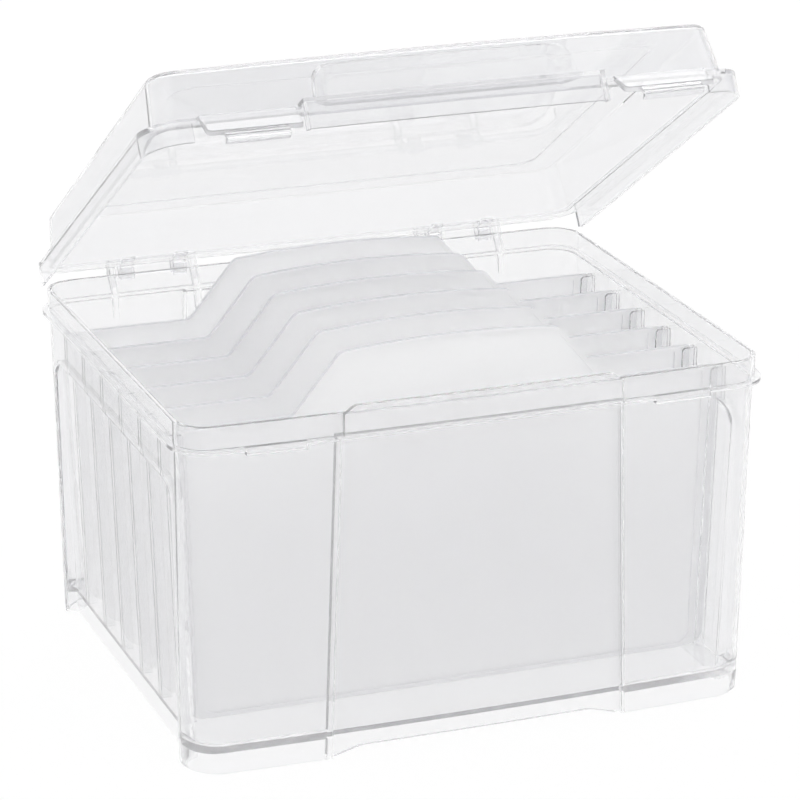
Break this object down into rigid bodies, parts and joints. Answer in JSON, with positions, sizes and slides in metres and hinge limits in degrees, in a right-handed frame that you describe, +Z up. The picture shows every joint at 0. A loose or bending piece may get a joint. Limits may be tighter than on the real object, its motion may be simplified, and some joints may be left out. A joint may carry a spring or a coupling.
{
  "type": "card storage box",
  "caption": "Clear plastic box with a domed rear-hinged lid, snap latch flaps at the front and lift-out upright dividers for filing cards.",
  "frame": {"origin": "on the table under the middle of the whole part's bounding box at rest", "axes": "+Z up, -Y towards the front with the latches, +X to the right seen from the front; the lid stands partly open as pictured"},
  "size_m": [0.265, 0.2284, 0.291],
  "materials": {
    "bin_plastic": "clear polypropylene with a faint haze",
    "lid_plastic": "clear polypropylene, smooth",
    "divider_plastic": "frosted polypropylene"
  },
  "bodies": {
    "bin": {"bin": "bin_plastic"},
    "lid": {"lid": "lid_plastic"},
    "latch_left": {"latch_left": "lid_plastic"},
    "latch_right": {"latch_right": "lid_plastic"},
    "divider_1": {"divider_1": "divider_plastic"},
    "divider_2": {"divider_2": "divider_plastic"},
    "divider_3": {"divider_3": "divider_plastic"},
    "divider_4": {"divider_4": "divider_plastic"},
    "divider_5": {"divider_5": "divider_plastic"},
    "divider_6": {"divider_6": "divider_plastic"}
  },
  "joints": [
    {"name": "lid_hinge", "type": "hinge", "parent": "bin", "child": "lid", "pos_m": [0, 0.1102, 0.1542], "axis": [-1, 0, 0], "range_deg": [-32.1, 73]},
    {"name": "latch_left_hinge", "type": "hinge", "parent": "lid", "child": "latch_left", "pos_m": [-0.0906, -0.0792, 0.2756], "axis": [-1, 0, 0], "range_deg": [-40, 50]},
    {"name": "latch_right_hinge", "type": "hinge", "parent": "lid", "child": "latch_right", "pos_m": [0.0906, -0.0792, 0.2756], "axis": [-1, 0, 0], "range_deg": [-48, 42]},
    {"name": "divider_1_lift", "type": "slide", "parent": "bin", "child": "divider_1", "axis": [0, 0, 1], "range_m": [0, 0.095]},
    {"name": "divider_2_lift", "type": "slide", "parent": "bin", "child": "divider_2", "axis": [0, 0, 1], "range_m": [0, 0.095]},
    {"name": "divider_3_lift", "type": "slide", "parent": "bin", "child": "divider_3", "axis": [0, 0, 1], "range_m": [0, 0.084]},
    {"name": "divider_4_lift", "type": "slide", "parent": "bin", "child": "divider_4", "axis": [0, 0, 1], "range_m": [0, 0.066]},
    {"name": "divider_5_lift", "type": "slide", "parent": "bin", "child": "divider_5", "axis": [0, 0, 1], "range_m": [0, 0.049]},
    {"name": "divider_6_lift", "type": "slide", "parent": "bin", "child": "divider_6", "axis": [0, 0, 1], "range_m": [0, 0.031]}
  ]
}
